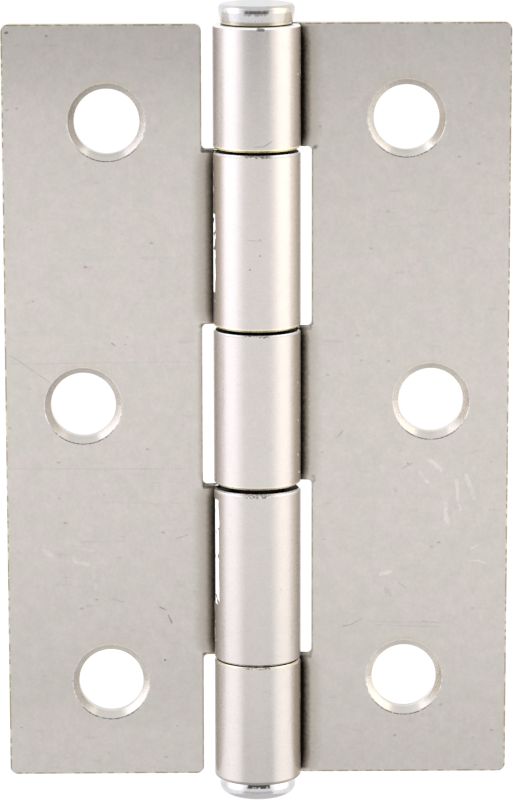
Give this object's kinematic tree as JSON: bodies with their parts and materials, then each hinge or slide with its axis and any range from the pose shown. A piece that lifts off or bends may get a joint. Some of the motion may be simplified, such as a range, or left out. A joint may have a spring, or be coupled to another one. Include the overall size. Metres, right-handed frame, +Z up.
{
  "type": "butt hinge",
  "caption": "Pressed-steel butt hinge, laid open flat: notched leaves with countersunk screw holes and rolled knuckles that swing about a riveted pin.",
  "frame": {"origin": "on the pin's axis, at mid height", "axes": "+Z up along the pin, +X from the pin towards the frame leaf's outer edge with the hinge laid open flat, -Y out of the front, where the screws go in"},
  "size_m": [0.0502, 0.0086, 0.0806],
  "materials": {
    "satin_steel": "satin plated sheet, burnished on the knuckles",
    "bright_steel": "bright drawn steel"
  },
  "bodies": {
    "frame_side": {"frame_leaf": "satin_steel", "pin": "bright_steel"},
    "door_side": {"door_leaf": "satin_steel"}
  },
  "joints": [
    {"name": "leaf_swing", "type": "hinge", "parent": "frame_side", "child": "door_side", "pos_m": [0, 0, 0], "axis": [0, 0, 1], "range_deg": [-130, 180]}
  ]
}
